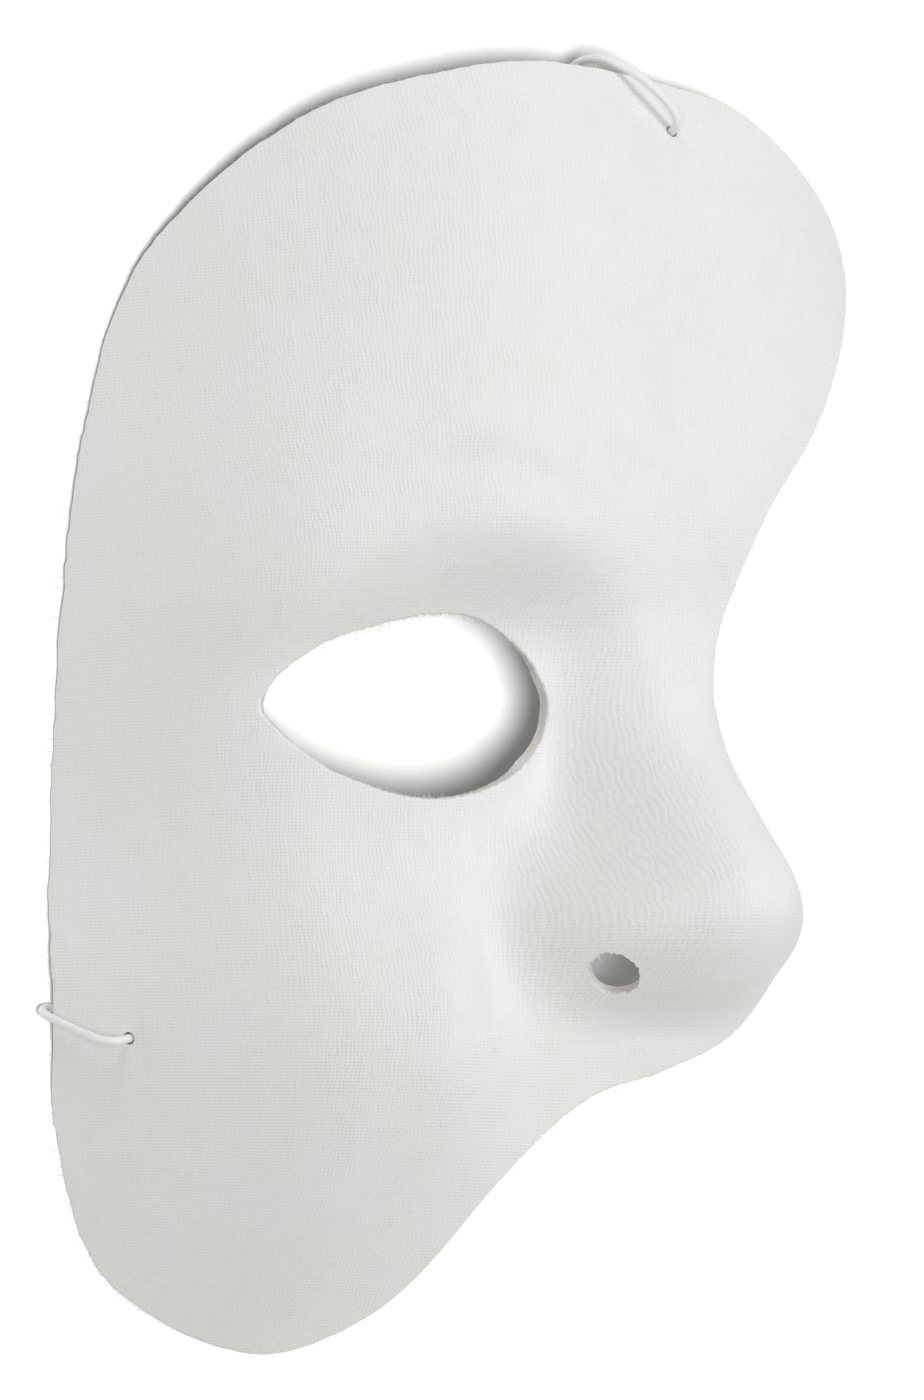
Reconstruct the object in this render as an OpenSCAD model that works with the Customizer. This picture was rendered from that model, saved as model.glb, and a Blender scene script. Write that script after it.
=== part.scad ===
// Plain white half-face costume mask: knit cloth over a moulded core, with a lining,
// a punched nostril, an eye hole and a round elastic cord held by two stopper knots.
// It lies face up on its rim: +Z up, +Y towards the forehead, +X towards the wearer's left.
// The face is first described in the mould's frame, where x runs across the face from its
// midline, y runs up from the level of the eyes, and z is the height out of the mould.

/* [Layers] */
// Thickness of the knit face cloth
cloth_t = 0.45; // [0.3:0.05:0.8]
// Thickness of the stiff moulded core
core_t = 1.1; // [0.8:0.1:2]
// Thickness of the felt lining
lining_t = 0.35; // [0.2:0.05:0.8]

/* [Face form] */
// Height of the nose above the face
nose_h = 23.5; // [18:0.5:28]
// Height of the nose wing's swelling
wing_h = 9; // [5:0.5:10]
// Depth of the hollow at the root of the nose
root_h = 7; // [4:0.5:9]
// Depth of the eye socket
socket_h = 9.5; // [5:0.5:11]
// Height of the brow ridge
brow_h = 2.5; // [0:0.5:4]
// Height of the cheek
cheek_h = 9; // [5:0.5:11]
// Height of the cheekbone's outer side
cheekbone_h = 10; // [6:0.5:12]
// Height of the temple
temple_h = 10; // [6:0.5:12]
// Rise of the rim where the lower cord passes it
rim_rise = 4.2; // [3.8:0.2:4.6]

/* [Punched holes] */
// Diameter of the nostril
nostril_d = 7.6; // [5:0.2:9]
// Diameter of both cord holes
cord_hole_d = 2; // [1.8:0.1:3]

/* [Elastic] */
// Diameter of the round elastic cord
cord_d = 1.3; // [1:0.1:1.5]
// Diameter of a stopper knot
knot_d = 4.2; // [4:0.2:5]
// Thickness of a stopper knot
knot_t = 2.6; // [2:0.2:2.6]

/* [Hidden] */

// Rows of the face's profiles are [height up the face, value]
front = [[-130, 36], [-100, 49], [-75, 61], [-55, 67], [-40, 70], [-20, 72], [0, 74.5],
    [18, 77.5], [35, 79], [55, 76.5], [80, 73], [105, 61], [130, 42]];
half_width = [[-130, 58], [-100, 66], [-60, 72], [-20, 75], [20, 75.6], [60, 75.5], [100, 70.2], [130, 66]];
squareness = [[-25, 2.4], [60, 3]];
face_depth = 78;
// The nose's ridge as a share of its height, and its half width
nose_ridge = [[-50, 0], [-46, 0.15], [-42.5, 0.6], [-39, 0.82], [-35.5, 0.94], [-31, 1], [-26, 0.96],
    [-19, 0.77], [-12, 0.61], [-4, 0.43], [4, 0.21], [13, -0.02], [22, -0.05]];
nose_width = [[-52, 12], [-36, 12.5], [-27, 12.7], [-12, 12], [4, 9], [22, 10]];
nose_squareness = 2.6;
// Swellings and hollows: [height, across, up, half width, half height, lean, droop of the ends]
forms = [
    [wing_h, 16, -33.5, 8.5, 8.7, -7, -1.3],
    [-5.5, 24.7, -34, 6.6, 13.5, 6, 0],
    [brow_h, 35.5, 26.5, 19, 7.5, 2, 7],
    [-2, 30, 37, 20, 6, 11, 8],
    [3, 32, 38, 15, 4.6, 9, 5],
    [-root_h, 6, -5, 38, 11.5, -28, 3],
    [-socket_h, 27, 10, 15, 9, -4, 0.7],
    [-5.5, 45.5, 4, 12, 8.6, 8, 0.8],
    [-4.5, 16.5, -4.5, 5, 12.5, 2, -1.3],
    [cheek_h, 36.5, -51, 11.3, 23.5, -5, 0.6],
    [cheekbone_h, 50, -52, 9.3, 37.5, -6, 0.8],
    [temple_h, 57, 14.7, 10.8, 23, 4, -2],
    [rim_rise, 71, -44, 12, 14, 0, 0]];

// Die-cut outline of the mask, clockwise from the forehead's top
outline = [[-16, 96], [10, 93.5], [28, 84], [40, 72], [37, 61], [24.7, 43.7], [13.5, 30], [7.6, 15],
    [6, 0], [12, -15], [16, -30], [18, -40], [14, -48.5], [2, -54], [-12, -59], [-23.3, -71],
    [-32.3, -89], [-43.5, -96.5], [-56, -88], [-63.2, -72], [-68.6, -45], [-69.6, -20], [-71, 15],
    [-70, 43], [-64, 69], [-50, 87], [-33, 94]];
// Eye hole: [direction from its centre, radius], with the outer corner at 180 degrees
eye_centre = [-36.5, -1];
eye_radius = [[-180, 19.2], [-168, 17.5], [-150, 15.4], [-120, 13.6], [-90, 13.7], [-60, 14.8],
    [-30, 17.1], [-15, 19.2], [0, 18.8], [15, 17], [30, 16.3], [60, 14.8], [90, 13.2],
    [120, 13.2], [150, 16], [166, 18.2], [180, 19.2]];
nostril_at = [-14.9, -40.7];
upper_hole_at = [1.2, 86.8];
lower_hole_at = [-62.4, -49.4];

// Depths of the faces of the layers under the cloth's outer face
core_depth = cloth_t;
lining_depth = core_depth + core_t;
total_t = lining_depth + lining_t;

// Grid of each layer: rays from the eye hole to the outline, and rows across each ray.
// The core's first and last rows stand out a little past the cloth and the lining.
steps_per_span = 4;
rays = len(outline) * steps_per_span;
lip = 0.3;
inner_rows = 15;
last_row = inner_rows + 2;

// Tilt that lays the mask on its rim
roll = 21.5;
pitch = 7.3;

function unit(v) = v / norm(v);

// A smooth curve through the rows of a profile, level at both ends
function span_of(table, t, i = 0) =
    i >= len(table) - 2 || t < table[i + 1][0] ? i : span_of(table, t, i + 1);
function slope_at(table, i) =
    i == 0 || i == len(table) - 1 ? 0
    : (table[i + 1][1] - table[i - 1][1]) / (table[i + 1][0] - table[i - 1][0]);
function profile(table, t) =
    let (i = span_of(table, t), a = table[i], b = table[i + 1], h = b[0] - a[0],
        s = min(1, max(0, (t - a[0]) / h)))
    (2 * s ^ 3 - 3 * s ^ 2 + 1) * a[1] + (3 * s ^ 2 - 2 * s ^ 3) * b[1]
    + h * ((s ^ 3 - 2 * s ^ 2 + s) * slope_at(table, i) + (s ^ 3 - s ^ 2) * slope_at(table, i + 1));

// One swelling or hollow of the face
function swelling(f, x, y) =
    let (dx = x - f[1], dy = y - f[2],
        u = (dx * cos(f[5]) + dy * sin(f[5])) / f[3],
        v = (dy * cos(f[5]) - dx * sin(f[5]) + f[6] * u ^ 2) / f[4])
    f[0] * exp(-u ^ 2 - v ^ 2);
function total(list, i = 0) = i >= len(list) ? 0 : list[i] + total(list, i + 1);

// Height of the face, which is the same on both sides of its midline
function face_z(x, y) =
    let (side = sqrt(x ^ 2 + 0.25))
    profile(front, y) - face_depth * pow(side / profile(half_width, y), profile(squareness, y))
    + nose_h * profile(nose_ridge, y) * exp(-pow(side / profile(nose_width, y), nose_squareness))
    + total([for (f = forms) swelling(f, side, y)]);
reach = 0.2;
function face_normal(p) = unit([
    (face_z(p.x - reach, p.y) - face_z(p.x + reach, p.y)) / (2 * reach),
    (face_z(p.x, p.y - reach) - face_z(p.x, p.y + reach)) / (2 * reach),
    1]);
// The point at a depth under the outer face
function under(p, depth) = [p.x, p.y, face_z(p.x, p.y)] - depth * face_normal(p);

// A smooth curve through points, at share s of the span from b to c
function between(a, b, c, d, s) =
    (2 * b + (c - a) * s + (2 * a - 5 * b + 4 * c - d) * s ^ 2 + (3 * b - a - 3 * c + d) * s ^ 3) / 2;
outline_curve = [for (i = [0:len(outline) - 1], k = [0:steps_per_span - 1])
    let (n = len(outline))
    between(outline[(i + n - 1) % n], outline[i], outline[(i + 1) % n], outline[(i + 2) % n],
        k / steps_per_span)];
function eye_edge(p) =
    let (out = p - eye_centre, turn = atan2(out.y, out.x))
    eye_centre + profile(eye_radius, turn) * [cos(turn), sin(turn)];
eye_curve = [for (p = outline_curve) eye_edge(p)];
function grid_point(row, ray) =
    let (start = eye_curve[ray], along = outline_curve[ray] - start, edge = lip / norm(along))
    start + along * (row == 0 ? 0 : row == last_row ? 1
        : edge + (1 - 2 * edge) * (row - 1) / inner_rows);

// Where the mask lies: tilted onto its rim, centred, with the rim's lowest point at z = 0
function tilted(p) =
    let (q = [p.x * cos(roll) + p.z * sin(roll), p.y, p.z * cos(roll) - p.x * sin(roll)])
    [q.x, q.y * cos(pitch) + q.z * sin(pitch), q.z * cos(pitch) - q.y * sin(pitch)];
core_sample = [for (depth = [core_depth, lining_depth], i = [0:last_row], j = [0:rays - 1])
    tilted(under(grid_point(i, j), depth))];
function lowest(k) = min([for (p = core_sample) p[k]]);
function highest(k) = max([for (p = core_sample) p[k]]);
rest_shift = [-(lowest(0) + highest(0)) / 2, -(lowest(1) + highest(1)) / 2, -lowest(2)];
module laid_down() {
    translate(rest_shift) rotate([-pitch, 0, 0]) rotate([0, roll, 0]) children();
}

function laid(p) = tilted(p) + rest_shift;

// One layer of the mask between two depths, from one row to another
module layer(top, bottom, first, last) {
    count = last - first + 1;
    points = [for (depth = [top, bottom], i = [first:last], j = [0:rays - 1])
        under(grid_point(i, j), depth)];
    function at(side, i, j) = (side * count + i) * rays + j % rays;
    front_faces = [for (i = [0:count - 2], j = [0:rays - 1])
        each [[at(0, i, j), at(0, i + 1, j), at(0, i + 1, j + 1)],
            [at(0, i, j), at(0, i + 1, j + 1), at(0, i, j + 1)]]];
    back_faces = [for (i = [0:count - 2], j = [0:rays - 1])
        each [[at(1, i, j), at(1, i + 1, j + 1), at(1, i + 1, j)],
            [at(1, i, j), at(1, i, j + 1), at(1, i + 1, j + 1)]]];
    outer_edge = [for (j = [0:rays - 1])
        each [[at(0, count - 1, j + 1), at(0, count - 1, j), at(1, count - 1, j)],
            [at(0, count - 1, j + 1), at(1, count - 1, j), at(1, count - 1, j + 1)]]];
    eye_edge_faces = [for (j = [0:rays - 1])
        each [[at(0, 0, j), at(0, 0, j + 1), at(1, 0, j + 1)],
            [at(0, 0, j), at(1, 0, j + 1), at(1, 0, j)]]];
    polyhedron(points, concat(front_faces, back_faces, outer_edge, eye_edge_faces), convexity = 10);
}

// A cylinder through all the layers, square to the face
punch_l = 14;
module punch(p, d) {
    n = face_normal(p);
    translate(under(p, total_t / 2)) rotate([0, acos(n.z), atan2(n.y, n.x)])
        cylinder(h = punch_l, d = d, center = true, $fn = 32);
}
module punched() {
    difference() {
        children();
        punch(nostril_at, nostril_d);
        punch(upper_hole_at, cord_hole_d);
        punch(lower_hole_at, cord_hole_d);
    }
}

// Stiff core moulded to the face, the piece that the mask rests on
module mask_core() {
    color("gainsboro") laid_down() punched() layer(core_depth, lining_depth, 0, last_row);
}

// Knit cloth on the front
module face_cloth() {
    color("white") laid_down() punched() layer(0, core_depth, 1, last_row - 1);
}

// Thin felt on the back
module lining() {
    color("whitesmoke") laid_down() punched() layer(lining_depth, total_t, 1, last_row - 1);
}

// Elastic cord: out of the upper hole, over the forehead's edge, in loose curves on the
// surface under the mask, then out under the rim and back in at the lower hole
knot_gap = 0.2;
knot_face = total_t + knot_gap;
function hole_axis(hole, depth) = laid(under(hole, depth));
cord_route = concat(
    [hole_axis(upper_hole_at, knot_face), hole_axis(upper_hole_at, -0.3)],
    [[27.6, 88.7, 20.4], [27.3, 89.8, 21.2], [26.3, 91.3, 21.5], [24.5, 93.2, 21.1],
        [22.2, 95.3, 20.1], [19.7, 97.1, 18.5], [17, 98.3, 16.2], [14.7, 98.2, 12.9],
        [13.3, 96.3, 9.1], [12.9, 93.1, 5.5], [13.9, 89, 2.8], [16.6, 84, 1.3], [21, 77, 0.7],
        [25.6, 66, 0.7], [24, 53, 0.7], [13, 46, 0.7], [1, 53, 0.7], [-12, 65, 0.7], [-29, 63, 0.7],
        [-41, 47, 0.7], [-47.4, 26, 0.7], [-48.4, 4, 0.7], [-43.6, -19, 0.7], [-35, -37, 0.7],
        [-35, -50, 0.7], [-43, -56, 0.7], [-55, -49.2, 0.7], [-59.8, -47, 0.9], [-61.5, -47, 2.2],
        [-61.9, -47.4, 4], [-61, -48, 6], [-59.3, -48.8, 8], [-57.6, -49.5, 10], [-56, -50.1, 12],
        [-54.9, -50.5, 13.3], [-52.9, -50.6, 14.4]],
    [hole_axis(lower_hole_at, -0.3), hole_axis(lower_hole_at, knot_face)]);
ring_step = 5.5;
cord_sides = 8;
last_point = len(cord_route) - 1;
cord_line = concat(
    [for (i = [0:last_point - 1], k = [0:1:ceil(norm(cord_route[i + 1] - cord_route[i]) / ring_step) - 1])
        between(cord_route[max(i - 1, 0)], cord_route[i], cord_route[i + 1],
            cord_route[min(i + 2, last_point)],
            k / ceil(norm(cord_route[i + 1] - cord_route[i]) / ring_step))],
    [cord_route[last_point]]);
// The line's direction at each ring, and a side direction carried along it without twist
cord_dirs = [for (i = [0:len(cord_line) - 1])
    unit(cord_line[min(i + 1, len(cord_line) - 1)] - cord_line[max(i - 1, 0)])];
first_side = unit(cross(cord_dirs[0], [0, 0, 1]));
cord_sides_on = [for (i = 0, side = first_side; i < len(cord_line);
    i = i + 1, side = i < len(cord_line) ? unit(side - (side * cord_dirs[i]) * cord_dirs[i]) : side) side];
module elastic_cord() {
    count = len(cord_line);
    function at(i, j) = i * cord_sides + j % cord_sides;
    points = [for (i = [0:count - 1], j = [0:cord_sides - 1])
        let (turn = 360 * j / cord_sides, side = cord_sides_on[i])
        cord_line[i] + cord_d / 2 * (cos(turn) * side + sin(turn) * cross(cord_dirs[i], side))];
    walls = [for (i = [0:count - 2], j = [0:cord_sides - 1])
        each [[at(i, j), at(i + 1, j), at(i + 1, j + 1)], [at(i, j), at(i + 1, j + 1), at(i, j + 1)]]];
    caps = [[for (j = [0:cord_sides - 1]) j], [for (j = [cord_sides - 1:-1:0]) at(count - 1, j)]];
    color("white") polyhedron(points, concat(walls, caps), convexity = 10);
}

// Stopper knot behind a hole, too wide to pull through it
module knot_behind(hole) {
    n = face_normal(hole);
    round_r = knot_t / 2;
    laid_down() translate(under(hole, knot_face)) rotate([0, acos(n.z), atan2(n.y, n.x)])
        rotate_extrude($fn = 48) intersection() {
            translate([0, -knot_t]) square([knot_d, knot_t]);
            union() {
                translate([0, -knot_t]) square([knot_d / 2 - round_r, knot_t]);
                translate([knot_d / 2 - round_r, -round_r]) circle(r = round_r, $fn = 32);
            }
        }
}
module upper_knot() {
    color("white") knot_behind(upper_hole_at);
}
module lower_knot() {
    color("white") knot_behind(lower_hole_at);
}

mask_core();
face_cloth();
lining();
elastic_cord();
upper_knot();
lower_knot();
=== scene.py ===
"""Looks for the blank half-face costume mask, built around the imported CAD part.

The mask lies face up: +Z up, +Y towards the forehead, +X towards the wearer's left. The face is
described in the mould's frame, in millimetres, by the same profiles and forms as in part.scad.
"""

import math

import bpy
import numpy as np
from mathutils import Matrix, Vector


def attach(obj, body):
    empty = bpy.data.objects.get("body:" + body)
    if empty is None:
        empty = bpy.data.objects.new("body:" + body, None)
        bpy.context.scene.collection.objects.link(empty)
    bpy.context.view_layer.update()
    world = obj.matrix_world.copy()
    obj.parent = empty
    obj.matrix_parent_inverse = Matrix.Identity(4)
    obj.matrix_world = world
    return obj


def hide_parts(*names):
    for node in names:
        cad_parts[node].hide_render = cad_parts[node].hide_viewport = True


MM = 0.001

# ---------------------------------------------------------------- the face's form, as in part.scad

CLOTH_T, CORE_T, LINING_T = 0.45, 1.1, 0.35
TOTAL_T = CLOTH_T + CORE_T + LINING_T
FRONT = [(-130, 36), (-100, 49), (-75, 61), (-55, 67), (-40, 70), (-20, 72), (0, 74.5), (18, 77.5),
         (35, 79), (55, 76.5), (80, 73), (105, 61), (130, 42)]
HALF_WIDTH = [(-130, 58), (-100, 66), (-60, 72), (-20, 75), (20, 75.6), (60, 75.5), (100, 70.2),
              (130, 66)]
SQUARENESS = [(-25, 2.4), (60, 3)]
FACE_DEPTH = 78
NOSE_H = 23.5
NOSE_RIDGE = [(-50, 0), (-46, 0.15), (-42.5, 0.6), (-39, 0.82), (-35.5, 0.94), (-31, 1),
              (-26, 0.96), (-19, 0.77), (-12, 0.61), (-4, 0.43), (4, 0.21), (13, -0.02), (22, -0.05)]
NOSE_WIDTH = [(-52, 12), (-36, 12.5), (-27, 12.7), (-12, 12), (4, 9), (22, 10)]
NOSE_SQUARENESS = 2.6
MIDDLE_ROUNDING = 0.5
# Swellings and hollows: height, across, up, half width, half height, lean, droop of the ends
FORMS = [(9, 16, -33.5, 8.5, 8.7, -7, -1.3), (-5.5, 24.7, -34, 6.6, 13.5, 6, 0),
         (2.5, 35.5, 26.5, 19, 7.5, 2, 7), (-2, 30, 37, 20, 6, 11, 8), (3, 32, 38, 15, 4.6, 9, 5),
         (-7, 6, -5, 38, 11.5, -28, 3), (-9.5, 27, 10, 15, 9, -4, 0.7),
         (-5.5, 45.5, 4, 12, 8.6, 8, 0.8), (-4.5, 16.5, -4.5, 5, 12.5, 2, -1.3),
         (9, 36.5, -51, 11.3, 23.5, -5, 0.6), (10, 50, -52, 9.3, 37.5, -6, 0.8),
         (10, 57, 14.7, 10.8, 23, 4, -2), (4.2, 71, -44, 12, 14, 0, 0)]
OUTLINE = [(-16, 96), (10, 93.5), (28, 84), (40, 72), (37, 61), (24.7, 43.7), (13.5, 30), (7.6, 15),
           (6, 0), (12, -15), (16, -30), (18, -40), (14, -48.5), (2, -54), (-12, -59), (-23.3, -71),
           (-32.3, -89), (-43.5, -96.5), (-56, -88), (-63.2, -72), (-68.6, -45), (-69.6, -20),
           (-71, 15), (-70, 43), (-64, 69), (-50, 87), (-33, 94)]
EYE_CENTRE = np.array([-36.5, -1.0])
EYE_RADIUS = [(-180, 19.2), (-168, 17.5), (-150, 15.4), (-120, 13.6), (-90, 13.7), (-60, 14.8),
              (-30, 17.1), (-15, 19.2), (0, 18.8), (15, 17), (30, 16.3), (60, 14.8), (90, 13.2),
              (120, 13.2), (150, 16), (166, 18.2), (180, 19.2)]
NOSTRIL_AT, NOSTRIL_D = (-14.9, -40.7), 7.6
UPPER_HOLE_AT = (1.2, 86.8)
LOWER_HOLE_AT = (-62.4, -49.4)
CORD_HOLE_D = 2.0
ROLL, PITCH = math.radians(21.5), math.radians(7.3)
REST_SHIFT = np.array([0.714, -6.441, -33.438])


def profile(table, t):
    """A smooth curve through the rows of a table, level at both ends."""
    at, value = np.array(table, float).T
    slope = np.zeros(len(at))
    slope[1:-1] = (value[2:] - value[:-2]) / (at[2:] - at[:-2])
    i = np.clip(np.searchsorted(at, t, side="right") - 1, 0, len(at) - 2)
    h = at[i + 1] - at[i]
    s = np.clip((t - at[i]) / h, 0, 1)
    return ((2 * s**3 - 3 * s**2 + 1) * value[i] + (3 * s**2 - 2 * s**3) * value[i + 1]
            + h * ((s**3 - 2 * s**2 + s) * slope[i] + (s**3 - s**2) * slope[i + 1]))


def from_middle(x):
    """Distance from the face's middle line, rounded off where it would come to a crease."""
    return np.sqrt(x**2 + MIDDLE_ROUNDING**2)


def base_z(x, y):
    """Height of the face without its nose and smaller forms."""
    side = from_middle(x)
    return profile(FRONT, y) - FACE_DEPTH * (side / profile(HALF_WIDTH, y)) ** profile(SQUARENESS, y)


def face_z(x, y):
    """Height of the face's outer surface."""
    side = from_middle(x)
    z = base_z(x, y)
    z = z + NOSE_H * profile(NOSE_RIDGE, y) * np.exp(-(side / profile(NOSE_WIDTH, y)) ** NOSE_SQUARENESS)
    for height, across, up, half_w, half_h, lean, droop in FORMS:
        c, s = math.cos(math.radians(lean)), math.sin(math.radians(lean))
        u = ((side - across) * c + (y - up) * s) / half_w
        v = ((y - up) * c - (side - across) * s + droop * u**2) / half_h
        z = z + height * np.exp(-u**2 - v**2)
    return z


def face_normal(x, y, reach=0.2):
    """Unit normal of the outer surface, pointing out of the face."""
    n = np.stack([(face_z(x - reach, y) - face_z(x + reach, y)) / (2 * reach),
                  (face_z(x, y - reach) - face_z(x, y + reach)) / (2 * reach),
                  np.ones(np.shape(x))], axis=-1)
    return n / np.linalg.norm(n, axis=-1, keepdims=True)


def under(x, y, depth):
    """The point at a depth under the outer surface, in the mould's frame."""
    x, y, depth = np.broadcast_arrays(np.asarray(x, float), y, depth)
    return np.stack([x, y, face_z(x, y)], axis=-1) - depth[..., None] * face_normal(x, y)


def rotation():
    """The tilt that lays the mask on its rim, as a matrix."""
    c, s = math.cos(ROLL), math.sin(ROLL)
    rolled = np.array([[c, 0, s], [0, 1, 0], [-s, 0, c]])
    c, s = math.cos(PITCH), math.sin(PITCH)
    return np.array([[1, 0, 0], [0, c, s], [0, -s, c]]) @ rolled


TILT = rotation()


def laid(p):
    """Mould's frame to where the mask lies, still in millimetres."""
    return p @ TILT.T + REST_SHIFT


def in_mould(p):
    """The other way round."""
    return (p - REST_SHIFT) @ TILT


def between(a, b, c, d, steps):
    """Smooth curves from each b to its c, where a comes before b and d after c."""
    s = (np.arange(steps) / steps)[None, :, None]
    a, b, c, d = (q[:, None, :] for q in (a, b, c, d))
    curve = (2 * b + (c - a) * s + (2 * a - 5 * b + 4 * c - d) * s**2 + (3 * b - a - 3 * c + d) * s**3) / 2
    return curve.reshape(-1, curve.shape[-1])


def closed_curve(points, steps):
    """A smooth closed curve through points, with this many steps from each to the next."""
    p = np.array(points, float)
    return between(np.roll(p, 1, 0), p, np.roll(p, -1, 0), np.roll(p, -2, 0), steps)


def open_curve(points, steps):
    """The same for an open line, which ends on its last point."""
    p = np.array(points, float)
    p = np.vstack([p[:1], p, p[-1:]])
    curve = between(*(p[k:len(p) - 3 + k] for k in range(4)), steps)
    return np.vstack([curve, p[-1:]])


# ---------------------------------------------------------------- small helpers

def new_mesh(name, points, faces, material):
    """A mesh object from points in metres, smooth except across sharp edges."""
    mesh = bpy.data.meshes.new(name)
    mesh.from_pydata(np.asarray(points, float).tolist(), [], [list(map(int, f)) for f in faces])
    mesh.validate()
    for poly in mesh.polygons:
        poly.use_smooth = True
    obj = bpy.data.objects.new(name, mesh)
    bpy.context.scene.collection.objects.link(obj)
    mesh.materials.append(material)
    return obj


def vertex_points(obj):
    """A mesh's vertices as an array, in millimetres."""
    co = np.empty(len(obj.data.vertices) * 3)
    obj.data.vertices.foreach_get("co", co)
    return co.reshape(-1, 3) / MM


class Nodes:
    """Short ways to add nodes to a material and join them."""

    def __init__(self, name, **shader):
        self.material = bpy.data.materials.new(name)
        self.material.use_nodes = True
        self.tree = self.material.node_tree
        self.shader = self.tree.nodes["Principled BSDF"]
        for socket, value in shader.items():
            self.shader.inputs[socket.replace("_", " ")].default_value = value

    def add(self, kind, settings=(), **inputs):
        """Adds a node; an input is a number, a colour or another node's output."""
        node = self.tree.nodes.new("ShaderNode" + kind)
        for key, value in dict(settings).items():
            setattr(node, key, value)
        for key, value in inputs.items():
            socket = node.inputs[int(key[1:])] if key[0] == "i" and key[1:].isdigit() else node.inputs[key]
            if isinstance(value, bpy.types.NodeSocket):
                self.tree.links.new(value, socket)
            else:
                socket.default_value = value
        return node

    def math(self, operation, a, b=0.0, c=0.0):
        return self.add("Math", {"operation": operation}, i0=a, i1=b, i2=c).outputs[0]

    def attribute(self, name):
        return self.add("Attribute", {"attribute_name": name}).outputs["Vector"]

    def split(self, vector):
        return self.add("SeparateXYZ", i0=vector).outputs

    def noise(self, where, scale, detail=2.0, roughness=0.5):
        node = self.add("TexNoise", Vector=where, Scale=scale, Detail=detail, Roughness=roughness)
        return node.outputs[0]

    def ramp(self, value, low, high, to_low=0.0, to_high=1.0):
        """Maps low..high to to_low..to_high, and stops there."""
        node = self.add("MapRange", Value=value)
        for i, number in enumerate((low, high, to_low, to_high), start=1):
            node.inputs[i].default_value = number
        return node.outputs[0]

    def blend(self, share, a, b):
        node = self.add("Mix", {"data_type": "RGBA"})
        for socket, value in ((node.inputs[0], share), (node.inputs[6], a), (node.inputs[7], b)):
            if isinstance(value, bpy.types.NodeSocket):
                self.tree.links.new(value, socket)
            else:
                socket.default_value = value
        return node.outputs[2]

    def bump(self, height, distance, strength=1.0, after=None):
        node = self.add("Bump", Height=height, Strength=strength, Distance=distance)
        if after is not None:
            self.tree.links.new(after, node.inputs["Normal"])
        return node.outputs[0]

    def drive(self, socket, value):
        self.tree.links.new(value, self.shader.inputs[socket])


# ---------------------------------------------------------------- camera, floor and lights

# The camera looks down on the mask from a little towards its ear side
CAMERA_AT = np.array([-227.7, 34.1, 892.8])
CAMERA_AIM = np.array([-3.2, 1.6, 21.9])
CAMERA_UP = np.array([-0.022, 0.999, -0.043])
SENSOR_H = 36.0
LENS = 155.06
LAMP_UP = np.array([0.1, 1, 0.2])
FLOOR_HALF = 3.0
FLOOR_COLOUR = (0.55, 0.55, 0.55, 1)
ROOM_LIGHT = 0.42
ROOM_COLOUR = (1.0, 1.0, 0.94, 1)
COOL = (0.93, 0.935, 1.0)
NEUTRAL = (1.0, 1.0, 1.0)
LAMP_DISTANCE = 1.2
# The lamps' directions are along the camera's right, up and back
MASK_LAMPS = [("top_lamp", (0.0, 0.8, 0.6), 2.8, COOL), ("side_lamp", (0.8, 0.0, 0.6), 5.0, COOL),
              ("front_lamp", (0.0, 0.0, 1.0), 3.9, NEUTRAL)]
MASK_LAMP_SIZE = 0.5
FLOOR_LAMP_FROM, FLOOR_LAMP_SIZE, FLOOR_LAMP_POWER = (0.12, -0.07, 1.0), 0.25, 25.0


def aimed(place, aim, up):
    """The matrix of a camera or light at a place in millimetres, looking at a point."""
    back = Vector(place - aim).normalized()
    right = Vector(up).cross(back).normalized()
    turn = Matrix((right, back.cross(right), back)).transposed().to_4x4()
    turn.translation = Vector(place) * MM
    return turn


def make_camera():
    data = bpy.data.cameras.new("camera")
    data.sensor_fit = "VERTICAL"
    data.sensor_height = SENSOR_H
    data.lens = LENS
    data.clip_start, data.clip_end = 0.05, 20
    camera = bpy.data.objects.new("camera", data)
    camera.matrix_world = aimed(CAMERA_AT, CAMERA_AIM, CAMERA_UP)
    bpy.context.scene.collection.objects.link(camera)
    bpy.context.scene.camera = camera


def seen_from_camera(right, up, back):
    """A direction given along the camera's own axes, in the part's frame."""
    b = (CAMERA_AT - CAMERA_AIM) / np.linalg.norm(CAMERA_AT - CAMERA_AIM)
    r = np.cross(CAMERA_UP, b)
    r /= np.linalg.norm(r)
    return right * r + up * np.cross(b, r) + back * b


def area_light(name, towards, size, power, only, colour=(1, 1, 1)):
    """A round soft light in a direction from the mask, which lights only one collection."""
    data = bpy.data.lights.new(name, "AREA")
    data.shape = "DISK"
    data.size = size
    data.energy = power
    data.color = colour
    light = bpy.data.objects.new(name, data)
    towards = np.array(towards) / np.linalg.norm(towards)
    light.matrix_world = aimed(CAMERA_AIM + towards * LAMP_DISTANCE / MM, CAMERA_AIM, LAMP_UP)
    bpy.context.scene.collection.objects.link(light)
    light.light_linking.receiver_collection = only


def floor_material():
    """Plain pale matt floor."""
    return Nodes("floor_white", Base_Color=FLOOR_COLOUR, Roughness=0.9).material


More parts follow.
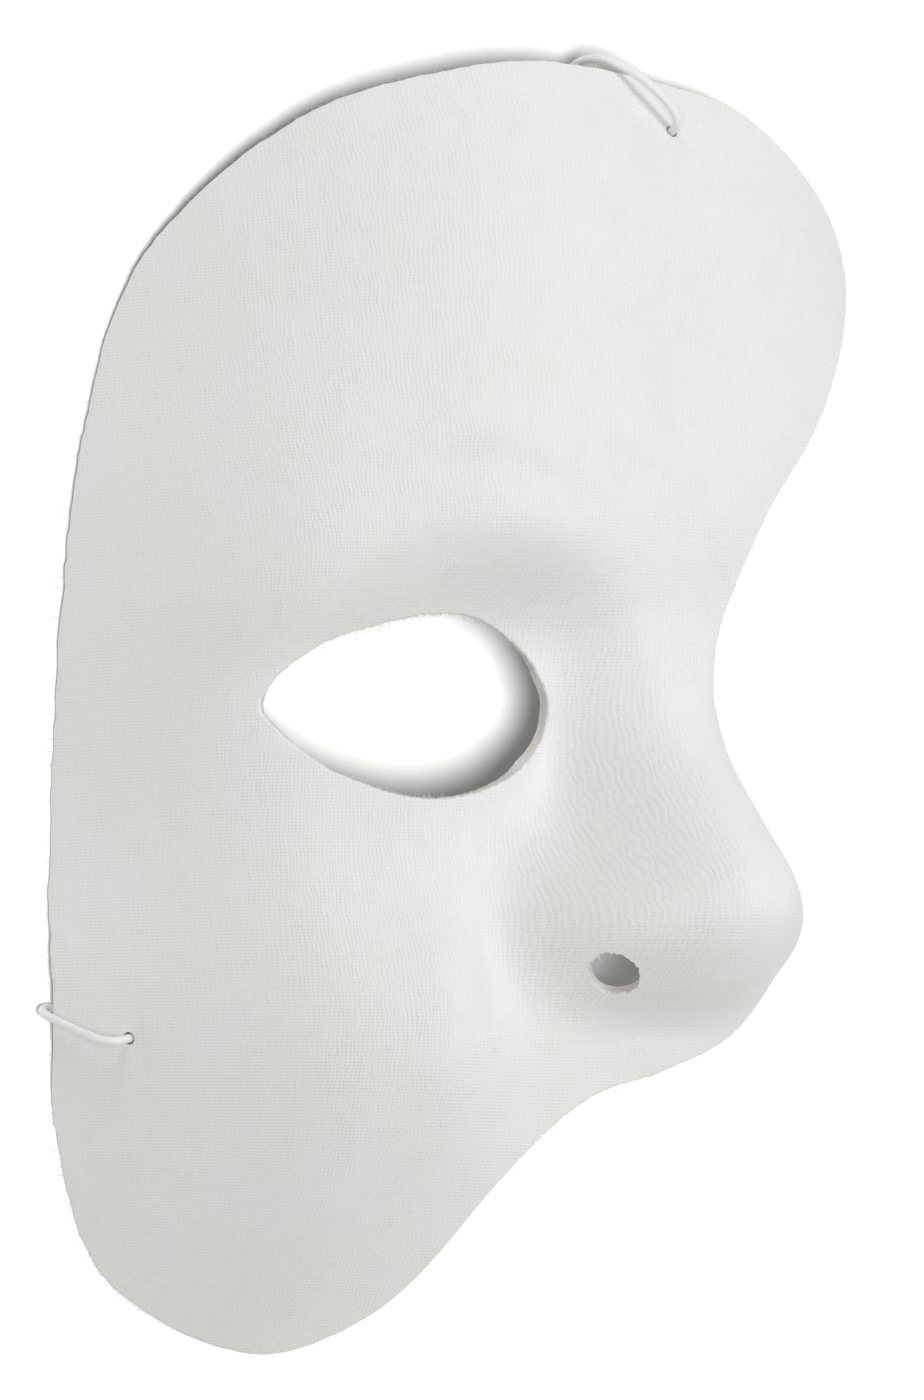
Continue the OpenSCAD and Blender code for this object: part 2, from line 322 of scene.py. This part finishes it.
def make_stage():
    """The pale floor, the soft light around it and the lamps."""
    half = FLOOR_HALF
    floor = new_mesh("floor", [(-half, -half, 0), (half, -half, 0), (half, half, 0), (-half, half, 0)],
                     [(0, 1, 2, 3)], floor_material())
    world = bpy.data.worlds.new("soft_room")
    world.use_nodes = True
    world.node_tree.nodes["Background"].inputs["Color"].default_value = ROOM_COLOUR
    world.node_tree.nodes["Background"].inputs["Strength"].default_value = ROOM_LIGHT
    bpy.context.scene.world = world
    only_floor, only_mask = (bpy.data.collections.new(name) for name in ("only_floor", "only_mask"))
    only_floor.objects.link(floor)
    for name, towards, power, colour in MASK_LAMPS:
        area_light(name, seen_from_camera(*towards), MASK_LAMP_SIZE, power, only_mask, colour)
    area_light("floor_lamp", seen_from_camera(*FLOOR_LAMP_FROM), FLOOR_LAMP_SIZE, FLOOR_LAMP_POWER,
               only_floor)
    bpy.context.scene.view_settings.view_transform = "Standard"
    return only_mask


# ---------------------------------------------------------------- elastic cord and its knots

# The same route as the CAD cord's, in millimetres between its two ends in the holes
CORD_D = 1.3
CORD_SIDES, CORD_STEP, SPLINE_STEPS = 24, 0.16, 24
BRAID_STRANDS = 8
BRAID_PITCH = 1.3
BRAID_RELIEF = 0.05
# Depths from the front: where the cord starts outside a hole, and where it meets its knot
HOLE_MOUTH = -0.3
KNOT_FACE = TOTAL_T + 0.2
KNOT_MIDDLE = KNOT_FACE + 1.25
KNOT_SIZE = np.array([0.46, 0.46, 0.5])
KNOT_SIDES, KNOT_STEPS = 16, 160
KNOT_TIGHTNESS = 0.95
TAIL_STEPS = 8
CORD_ROUTE = [
    (27.6, 88.7, 20.4), (27.3, 89.8, 21.2), (26.3, 91.3, 21.5), (24.5, 93.2, 21.1),
    (22.2, 95.3, 20.1), (19.7, 97.1, 18.5), (17, 98.3, 16.2), (14.7, 98.2, 12.9), (13.3, 96.3, 9.1),
    (12.9, 93.1, 5.5), (13.9, 89, 2.8), (16.6, 84, 1.3), (21, 77, 0.7), (25.6, 66, 0.7), (24, 53, 0.7),
    (13, 46, 0.7), (1, 53, 0.7), (-12, 65, 0.7), (-29, 63, 0.7), (-41, 47, 0.7), (-47.4, 26, 0.7),
    (-48.4, 4, 0.7), (-43.6, -19, 0.7), (-35, -37, 0.7), (-35, -50, 0.7), (-43, -56, 0.7),
    (-55, -49.2, 0.7), (-59.8, -47, 0.9), (-61.5, -47, 2.2), (-61.9, -47.4, 4), (-61, -48, 6),
    (-59.3, -48.8, 8), (-57.6, -49.5, 10), (-56, -50.1, 12), (-54.9, -50.5, 13.3), (-52.9, -50.6, 14.4)]


def hole_axis(hole, depth):
    """The point on a hole's middle line at a depth under the outer surface."""
    return laid(under(hole[0], hole[1], depth))


def distance_along(line):
    """How far each point of a line is from its start."""
    return np.concatenate([[0], np.cumsum(np.linalg.norm(np.diff(line, axis=0), axis=1))])


def evenly(line, step):
    """The same line with points a fixed step apart."""
    along = distance_along(line)
    at = np.linspace(0, along[-1], max(2, int(round(along[-1] / step)) + 1))
    return np.stack([np.interp(at, along, line[:, k]) for k in range(3)], axis=1)


def tube(line, radius_at, sides):
    """Points and faces of a tube round a line; radius_at(turn, along) gives its relief."""
    along = distance_along(line)
    tangent = np.gradient(line, axis=0)
    tangent /= np.linalg.norm(tangent, axis=1, keepdims=True)
    side = np.cross(tangent[0], [0.1, 0.2, 1])
    turn = 2 * np.pi * np.arange(sides) / sides
    points = []
    for p, t, s in zip(line, tangent, along):
        side = side - (side @ t) * t
        side /= np.linalg.norm(side)
        ring = np.cos(turn)[:, None] * side + np.sin(turn)[:, None] * np.cross(t, side)
        points.append(p + radius_at(turn, s)[:, None] * ring)
    count = len(line)
    faces = [(i * sides + j, i * sides + (j + 1) % sides, (i + 1) * sides + (j + 1) % sides,
              (i + 1) * sides + j) for i in range(count - 1) for j in range(sides)]
    faces.append(tuple(range(sides))[::-1])
    faces.append(tuple((count - 1) * sides + j for j in range(sides)))
    return np.vstack(points), faces


def braided(turn, along):
    """Radius of the braided cord: two families of strands that cross over and under."""
    a = BRAID_STRANDS * turn / 2 + 2 * np.pi * along / BRAID_PITCH
    b = BRAID_STRANDS * turn / 2 - 2 * np.pi * along / BRAID_PITCH
    over = np.abs(np.cos(a)) * (1 + np.cos(a + b)) + np.abs(np.cos(b)) * (1 - np.cos(a + b))
    return CORD_D / 2 - BRAID_RELIEF + BRAID_RELIEF * over / 2


def make_cord(material):
    """The cord's mesh tube and the route that it follows, in metres."""
    start = [hole_axis(UPPER_HOLE_AT, depth) for depth in (KNOT_FACE, HOLE_MOUTH)]
    end = [hole_axis(LOWER_HOLE_AT, depth) for depth in (HOLE_MOUTH, KNOT_FACE)]
    route = np.vstack([start, CORD_ROUTE, end])
    line = evenly(open_curve(route, SPLINE_STEPS), CORD_STEP)
    points, faces = tube(line, braided, CORD_SIDES)
    return new_mesh("elastic_braid", points * MM, faces, material), route * MM


def make_knot(name, hole, material):
    """An overhand knot pulled tight behind a hole, with its short cut end."""
    normal = TILT @ face_normal(*map(np.array, hole))
    across = np.cross(normal, [0, 1, 0])
    across /= np.linalg.norm(across)
    axes = np.stack([across, np.cross(normal, across), normal])
    t = np.linspace(0, 2 * np.pi, KNOT_STEPS, endpoint=False)[:, None]
    ring = np.hstack([np.sin(t) + 2 * np.sin(2 * t), np.cos(t) - 2 * np.cos(2 * t), -np.sin(3 * t)])
    loop = np.vstack([ring, ring[:1]]) * KNOT_SIZE
    tail = np.array([loop[0], loop[0] + [0.4, 0.9, -0.3], loop[0] + [0.9, 1.9, -0.4]])
    place = hole_axis(hole, KNOT_MIDDLE)
    points, faces, count = [], [], 0
    for line in (loop, open_curve(tail, TAIL_STEPS)):
        p, f = tube(line @ axes + place, lambda turn, s: braided(turn, s) * KNOT_TIGHTNESS, KNOT_SIDES)
        points.append(p)
        faces += [tuple(i + count for i in face) for face in f]
        count += len(p)
    return new_mesh(name, np.vstack(points) * MM, faces, material)


# ---------------------------------------------------------------- the mask's three layers

STEPS = 20
INNER_ROWS = 110
EDGE_STEPS = 4
EDGE_GAP = 0.1


def rim_curves():
    """The outline and, ray by ray, the eye hole's edge."""
    outer = closed_curve(OUTLINE, STEPS)
    out = outer - EYE_CENTRE
    turn = np.arctan2(out[:, 1], out[:, 0])
    radius = profile(EYE_RADIUS, np.degrees(turn))
    inner = EYE_CENTRE + radius[:, None] * np.stack([np.cos(turn), np.sin(turn)], axis=1)
    return inner, outer


INNER_RIM, OUTER_RIM = rim_curves()
RAY_LENGTH = np.linalg.norm(OUTER_RIM - INNER_RIM, axis=1)


def ragged(count, size, rng):
    """Uneven small steps along a raw cut edge, in millimetres."""
    coarse = np.repeat(rng.normal(0, 1, count // 4 + 1), 4)[:count]
    return np.clip(size * (0.6 * coarse + 0.6 * rng.normal(0, 1, count)), -2 * size, 2 * size)


def make_layer(name, top, bottom, inset, round_r, fray, material, rng):
    """One closed layer between two depths, its front edges rounded by round_r and its cut edge frayed."""
    rays = len(OUTER_RIM)
    quarter = np.linspace(0, np.pi / 2, EDGE_STEPS)
    edge_in, edge_down = inset + round_r * (1 - np.cos(quarter)), round_r * (1 - np.sin(quarter))
    wave = {side: ragged(rays, fray, rng) for side in ("eye", "out")}
    rows = [(edge_in[k] + wave["eye"], top + edge_down[k]) for k in range(EDGE_STEPS)]
    rows = [(d / RAY_LENGTH, depth) for d, depth in rows]
    margin = (inset + round_r + EDGE_GAP) / RAY_LENGTH
    rows += [(margin + (1 - 2 * margin) * i / INNER_ROWS, top) for i in range(INNER_ROWS + 1)]
    rows += [(1 - (edge_in[k] + wave["out"]) / RAY_LENGTH, top + edge_down[k])
             for k in reversed(range(EDGE_STEPS))]
    back = [(share, bottom) for share, _ in rows[::-1]]
    loops = [under(*(INNER_RIM + share[:, None] * (OUTER_RIM - INNER_RIM)).T, depth)
             for share, depth in rows + back]
    count = len(loops)
    i, j = np.meshgrid(np.arange(count), np.arange(rays), indexing="ij")
    ni, nj = (i + 1) % count, (j + 1) % rays
    faces = np.stack([i * rays + j, ni * rays + j, ni * rays + nj, i * rays + nj], axis=-1).reshape(-1, 4)
    return new_mesh(name, laid(np.vstack(loops)) * MM, faces, material)


# Each punched hole: where, how wide, how many sides, and how ragged the cloth is round it
HOLES = [(NOSTRIL_AT, NOSTRIL_D, 96, 0.16), (UPPER_HOLE_AT, CORD_HOLE_D, 40, 0.04),
         (LOWER_HOLE_AT, CORD_HOLE_D, 40, 0.04)]
CUT_REACH = 7.0
HOLE_SEED = 11
SHARP_FROM = math.radians(50)


def hole_cutter(hole, width, sides, roughness, material):
    """A tube square to the face that fills one hole."""
    normal = TILT @ face_normal(*map(np.array, hole))
    line = hole_axis(hole, TOTAL_T / 2) + normal * CUT_REACH * np.array([[-1.0], [0.0], [1.0]])
    rough = ragged(sides, roughness, np.random.default_rng(HOLE_SEED))
    points, faces = tube(line, lambda turn, s: width / 2 + rough, sides)
    return new_mesh("cutter", points * MM, faces, material)


def punch_holes(obj, ragged_edge):
    """Cuts the nostril and both cord holes square through a layer."""
    cutters = [hole_cutter(hole, width, sides, roughness * ragged_edge, obj.data.materials[0])
               for hole, width, sides, roughness in HOLES]
    for cutter in cutters:
        cut = obj.modifiers.new("punch", "BOOLEAN")
        cut.operation, cut.solver, cut.object = "DIFFERENCE", "EXACT", cutter
    graph = bpy.context.evaluated_depsgraph_get()
    mesh = bpy.data.meshes.new_from_object(obj.evaluated_get(graph))
    obj.modifiers.clear()
    obj.data = mesh
    for cutter in cutters:
        bpy.data.objects.remove(cutter)
    mesh.set_sharp_from_angle(angle=SHARP_FROM)


def arc_lengths():
    """Tables of the cloth's own two coordinates over the mould, in millimetres."""
    x = np.arange(-80, 50.5, 1.0)
    y = np.arange(-105, 105.5, 1.0)
    z = base_z(*np.meshgrid(x, y))
    across = np.sqrt(1 + np.gradient(z, x, axis=1) ** 2)
    up = np.sqrt(1 + np.gradient(z, y, axis=0) ** 2)
    u = np.cumsum(across, axis=1)
    v = np.cumsum(up, axis=0)
    return x, y, u - u[:, [80]], v - v[[105], :]


def sample(table, fx, fy):
    """Bilinear look-up in a table on the 1 mm grid."""
    i, j = np.floor(fy).astype(int), np.floor(fx).astype(int)
    s, t = fy - i, fx - j
    return ((table[i, j] * (1 - t) + table[i, j + 1] * t) * (1 - s)
            + (table[i + 1, j] * (1 - t) + table[i + 1, j + 1] * t) * s)


def add_cloth_coordinates(obj):
    """Writes where each vertex lies in the flat cloth, so that the knit runs with the cloth."""
    p = in_mould(vertex_points(obj))
    x, y, u, v = arc_lengths()
    fx, fy = p[:, 0] - x[0], p[:, 1] - y[0]
    flat = np.stack([sample(u, fx, fy), sample(v, fx, fy), p[:, 2]], axis=1)
    layer = obj.data.attributes.new("flat_cloth", "FLOAT_VECTOR", "POINT")
    layer.data.foreach_set("vector", flat.ravel())


# Each rim, whether its fibres point away from the eye hole's middle (1) or towards it (-1), and the
# share of its points that have one
FIBRE_RIMS = [(OUTER_RIM, 1, 0.75), (INNER_RIM, -1, 0.85)]
NOSTRIL_FIBRES = 60
# The nostril is punched square to a steep slope, so from the front it looks lower than it is wide
NOSTRIL_SEEN = np.array([0.98, 0.78])
FIBRE_LENGTH = (0.25, 0.8)
FIBRE_RADIUS = (0.022, 0.045)
FIBRE_SWERVE, FIBRE_LIFT = 0.45, 0.3
FIBRE_ROOT, FIBRE_BEND = -0.3, 0.1
FIBRE_SIDES = 3


def fibre_places(rng):
    """Where each fibre leaves an edge, and which way it points."""
    places = []
    for rim, away, share in FIBRE_RIMS:
        out = np.gradient(rim, axis=0) @ np.array([[0, 1], [-1, 0]])
        out /= np.linalg.norm(out, axis=1, keepdims=True)
        out *= away * np.sign(((rim - EYE_CENTRE) * out).sum(axis=1))[:, None]
        places += [(p, direction) for p, direction in zip(rim, out) if rng.random() < share]
    for turn in rng.uniform(0, 2 * np.pi, NOSTRIL_FIBRES):
        direction = np.array([np.cos(turn), np.sin(turn)])
        places.append((np.array(NOSTRIL_AT) + direction * NOSTRIL_D / 2 * NOSTRIL_SEEN, -direction))
    return places


def fibre(p, direction, rng):
    """Points and faces of one loose fibre, bent and pointing a little astray."""
    length = rng.uniform(*FIBRE_LENGTH)
    swerve = rng.normal(0, FIBRE_SWERVE, 2)
    depth = rng.uniform(0.0, CLOTH_T)
    start = under(*(p + FIBRE_ROOT * direction), depth)
    bend = under(*(p + FIBRE_BEND * direction), depth)
    end = bend + (bend - start + np.array([*swerve, rng.normal(0, FIBRE_LIFT)])) * length
    line = laid(open_curve([start, bend, end], 3))
    radius = rng.uniform(*FIBRE_RADIUS)
    return tube(line, lambda turn, s: np.full(FIBRE_SIDES, radius), FIBRE_SIDES)


def edge_fibres(material, rng):
    """Short loose fibres of the knit along its raw cut edges and round the nostril."""
    points, faces, count = [], [], 0
    for p, direction in fibre_places(rng):
        tube_points, tube_faces = fibre(p, direction, rng)
        points.append(tube_points)
        faces += [tuple(i + count for i in face) for face in tube_faces]
        count += len(tube_points)
    return new_mesh("edge_fibres", np.vstack(points) * MM, faces, material)


# ---------------------------------------------------------------- materials

WALE_PITCH = 0.7
COURSE_PITCH = 0.5
CLOTH_CREAM, CLOTH_WHITE = (0.80, 0.802, 0.775, 1), (0.815, 0.815, 0.815, 1)
# Painted shade: the knit's colour is multiplied by this in its stitch grooves
GROOVE_PAINTED_SHADE = (0.955, 0.955, 0.957, 1)
SPECK_GREY = (0.33, 0.34, 0.36, 1)
# The third core colour is painted shade, laid into the low spots of the core's grain
CORE_WARM, CORE_PALE, CORE_PIT_SHADE = (0.72, 0.66, 0.63, 1), (0.80, 0.77, 0.75, 1), (0.42, 0.36, 0.33, 1)
FELT_THIN, FELT_THICK, FELT_FIBRE = (0.74, 0.74, 0.72, 1), (0.80, 0.80, 0.79, 1), (0.83, 0.83, 0.82, 1)
ELASTIC_DULL, ELASTIC_PALE = (0.80, 0.80, 0.79, 1), (0.86, 0.86, 0.85, 1)
# Painted shade for the low spots of the elastic's yarn
ELASTIC_YARN_SHADE = (0.62, 0.62, 0.62, 1)


def knit_material():
    """White stretched knit: fine upright wales of V-shaped stitches, fuzz, faint tone, painted shade in
    the stitch grooves, and specks.
    """
    n = Nodes("knit_cloth", Roughness=0.92, Sheen_Weight=0.15, Sheen_Roughness=0.5)
    n.shader.inputs["Specular IOR Level"].default_value = 0.25
    flat = n.attribute("flat_cloth")
    wobble = n.noise(flat, 0.35, 2.0)
    u, v, _ = n.split(flat)
    u = n.math("ADD", u, n.math("MULTIPLY", n.math("SUBTRACT", wobble, 0.5), 1.6))
    wale = n.math("MULTIPLY", u, 2 * math.pi / WALE_PITCH)
    rib = n.math("ABSOLUTE", n.math("SINE", n.math("MULTIPLY", wale, 0.5)))
    slant = n.math("MULTIPLY", rib, 1.6)
    course = n.math("SINE", n.math("ADD", n.math("MULTIPLY", v, 2 * math.pi / COURSE_PITCH), slant))
    stitch = n.math("ADD", n.math("MULTIPLY", rib, 0.65), n.math("MULTIPLY", course, 0.22))
    yarn = n.noise(flat, 3.2, 3.0, 0.65)
    uneven = n.ramp(n.noise(flat, 0.25, 3.0, 0.6), 0.35, 0.65, 0.35, 1.0)
    height = n.math("ADD", n.math("MULTIPLY", stitch, uneven), n.math("MULTIPLY", yarn, 0.9))
    n.drive("Normal", n.bump(height, 0.00016, 0.55))
    shade = n.ramp(n.noise(flat, 0.045, 3.0, 0.6), 0.3, 0.7, 0.0, 1.0)
    tone = n.blend(shade, CLOTH_CREAM, CLOTH_WHITE)
    # Painted shade: the colour is darkened where the stitch relief is low, in the grooves
    grooves = n.ramp(stitch, 0.0, 0.75, 0.0, 1.0)
    shaded_groove_tone = n.add("Mix", {"data_type": "RGBA", "blend_type": "MULTIPLY"}, i0=1.0, i6=tone,
                      i7=GROOVE_PAINTED_SHADE)
    tone = n.blend(grooves, shaded_groove_tone.outputs[2], tone)
    cells = n.add("TexVoronoi", {"feature": "F1"}, Vector=flat, Scale=0.075, Randomness=1.0)
    near = n.ramp(cells.outputs["Distance"], 0.012, 0.026, 1.0, 0.0)
    chosen = n.ramp(n.split(cells.outputs["Color"])[0], 0.35, 0.36, 1.0, 0.0)
    speck = n.math("MULTIPLY", n.math("MULTIPLY", near, chosen), n.ramp(yarn, 0.4, 0.6, 0.3, 0.9))
    n.drive("Base Color", n.blend(speck, tone, SPECK_GREY))
    n.drive("Roughness", n.ramp(yarn, 0.2, 0.8, 0.86, 0.98))
    return n.material


def core_material():
    """Stiff off-white core, seen only at the cut edges: a little warm, with a coarse torn grain in its
    bump and painted shade in the grain's low spots.
    """
    n = Nodes("moulded_core", Roughness=0.75)
    where = n.add("NewGeometry").outputs["Position"]
    grain = n.noise(where, 2600.0, 3.0, 0.7)
    wide = n.noise(where, 160.0, 2.0)
    pale = n.blend(n.ramp(wide, 0.35, 0.65), CORE_WARM, CORE_PALE)
    # Painted shade: darker where the grain's bump is low
    n.drive("Base Color", n.blend(n.ramp(grain, 0.3, 0.42, 0.5, 0.0), pale, CORE_PIT_SHADE))
    n.drive("Normal", n.bump(grain, 0.0002, 0.5))
    return n.material


def felt_material():
    """Thin pressed felt on the back: matted fibres with faint thick and thin patches."""
    n = Nodes("felt_lining", Roughness=0.95, Sheen_Weight=0.2, Sheen_Roughness=0.6)
    flat = n.attribute("flat_cloth")
    one_way, other_way = (
        n.noise(n.add("Mapping", Vector=flat, Rotation=(0, 0, turn), Scale=(1.0, 0.25, 1.0)).outputs[0],
                4.0, 4.0, 0.7) for turn in (0.6, -0.8))
    fibres = n.math("MAXIMUM", one_way, other_way)
    patches = n.noise(flat, 0.22, 3.0, 0.6)
    n.drive("Normal", n.bump(n.math("ADD", fibres, n.math("MULTIPLY", patches, 0.6)), 0.0003, 0.7))
    pale = n.blend(n.ramp(patches, 0.35, 0.65), FELT_THIN, FELT_THICK)
    n.drive("Base Color", n.blend(n.ramp(fibres, 0.45, 0.7), pale, FELT_FIBRE))
    n.drive("Roughness", n.ramp(fibres, 0.3, 0.7, 0.98, 0.88))
    return n.material


def elastic_material():
    """White braided elastic with a slight sheen and painted shade in the low spots of its yarn; the braid
    itself is in the mesh.
    """
    n = Nodes("braided_elastic", Roughness=0.6, Sheen_Weight=0.2, Sheen_Roughness=0.4)
    where = n.add("NewGeometry").outputs["Position"]
    yarn = n.noise(where, 3500.0, 3.0, 0.6)
    wide = n.noise(where, 60.0, 2.0)
    pale = n.blend(n.ramp(wide, 0.35, 0.65), ELASTIC_DULL, ELASTIC_PALE)
    # Painted shade: darker where the yarn's bump is low
    n.drive("Base Color", n.blend(n.ramp(yarn, 0.3, 0.5, 0.35, 0.0), pale, ELASTIC_YARN_SHADE))
    n.drive("Normal", n.bump(yarn, 0.0001, 0.4))
    n.drive("Roughness", n.ramp(yarn, 0.3, 0.7, 0.7, 0.5))
    return n.material


# ---------------------------------------------------------------- the whole mask


def finish_piece(obj, slot, *nodes):
    """Fixes a piece to the mask and hides the CAD nodes that it stands for; slot, its finish, is not used.
    """
    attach(obj, "root")
    if nodes:
        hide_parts(*nodes)


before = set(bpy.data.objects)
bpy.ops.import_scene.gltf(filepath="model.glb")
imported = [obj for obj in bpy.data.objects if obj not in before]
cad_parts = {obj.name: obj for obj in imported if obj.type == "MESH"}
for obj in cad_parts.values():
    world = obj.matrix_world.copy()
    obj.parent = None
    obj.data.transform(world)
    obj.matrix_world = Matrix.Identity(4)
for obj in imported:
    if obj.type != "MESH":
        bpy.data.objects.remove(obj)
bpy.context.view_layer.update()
make_camera()

elastic = elastic_material()
cord, cord_path = make_cord(elastic)
upper_knot = make_knot("upper_overhand_knot", UPPER_HOLE_AT, elastic)
lower_knot = make_knot("lower_overhand_knot", LOWER_HOLE_AT, elastic)
finish_piece(cord, "elastic", "elastic_cord")
finish_piece(upper_knot, "elastic", "upper_knot")
finish_piece(lower_knot, "elastic", "lower_knot")
tuple(hole_axis(UPPER_HOLE_AT, 0) * MM)

only_mask = make_stage()

draws = np.random.default_rng(7)
knit, core, felt = knit_material(), core_material(), felt_material()
cloth = make_layer("knit_face", 0.0, CLOTH_T, 0.0, 0.35, 0.07, knit, draws)
shell = make_layer("moulded_shell", CLOTH_T, CLOTH_T + CORE_T, 0.06, 0.08, 0.0, core, draws)
lining = make_layer("felt_back", CLOTH_T + CORE_T, TOTAL_T, 0.1, 0.08, 0.05, felt, draws)
for piece, ragged_edge in ((cloth, 1), (shell, 0), (lining, 0)):
    punch_holes(piece, ragged_edge)
add_cloth_coordinates(cloth)
add_cloth_coordinates(lining)
fibres = edge_fibres(knit, draws)
add_cloth_coordinates(fibres)
finish_piece(cloth, "cloth", "face_cloth")
finish_piece(shell, "core", "mask_core")
finish_piece(lining, "lining", "lining")
finish_piece(fibres, "cloth")

for piece in (cord, upper_knot, lower_knot, cloth, shell, lining, fibres):
    only_mask.objects.link(piece)
